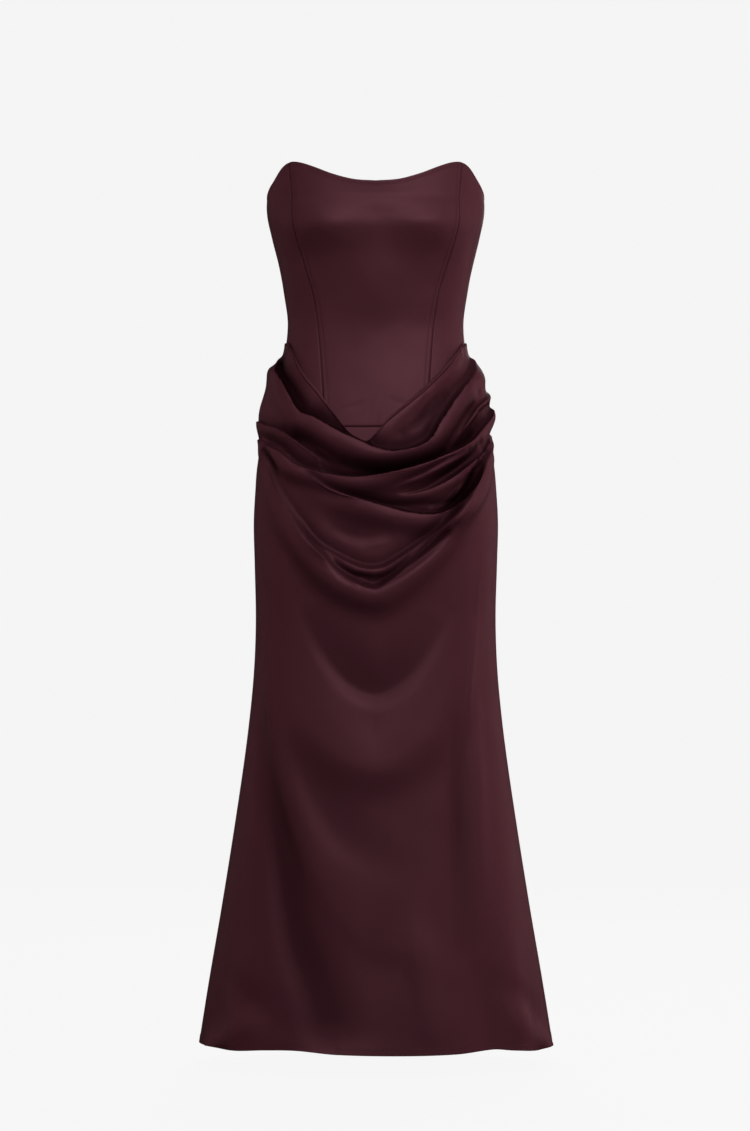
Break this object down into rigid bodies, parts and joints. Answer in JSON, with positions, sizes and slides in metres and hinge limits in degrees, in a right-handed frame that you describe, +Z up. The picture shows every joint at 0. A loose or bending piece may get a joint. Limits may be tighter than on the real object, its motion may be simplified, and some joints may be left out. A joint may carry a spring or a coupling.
{
  "type": "strapless gown",
  "caption": "Floor-length strapless satin gown with a boned princess-seam bodice and a skirt front draped in cowl folds over the hips.",
  "frame": {"origin": "middle of the body at the fullest part of the bust, where the wearer holds the gown up", "axes": "+Z up, front facing -Y, the wearer's left at +X"},
  "size_m": [0.5006, 0.3745, 1.2453],
  "materials": {
    "satin": "dark wine red satin with a soft sheen",
    "zip_metal": "lacquered to match the cloth"
  },
  "bodies": {
    "dress": {"bodice_front_centre": "satin", "bodice_front_left": "satin", "bodice_front_right": "satin", "bodice_back_left": "satin", "bodice_back_right": "satin", "front_yoke": "satin", "skirt_front": "satin", "skirt_back_left": "satin", "skirt_back_right": "satin", "zip_slider": "zip_metal"},
    "zip_pull": {"zip_pull": "zip_metal"}
  },
  "joints": [
    {"name": "zip_pull_swing", "type": "hinge", "parent": "dress", "child": "zip_pull", "pos_m": [0, 0.0915, -0.009], "axis": [1, 0, 0], "range_deg": [0, 160]}
  ]
}
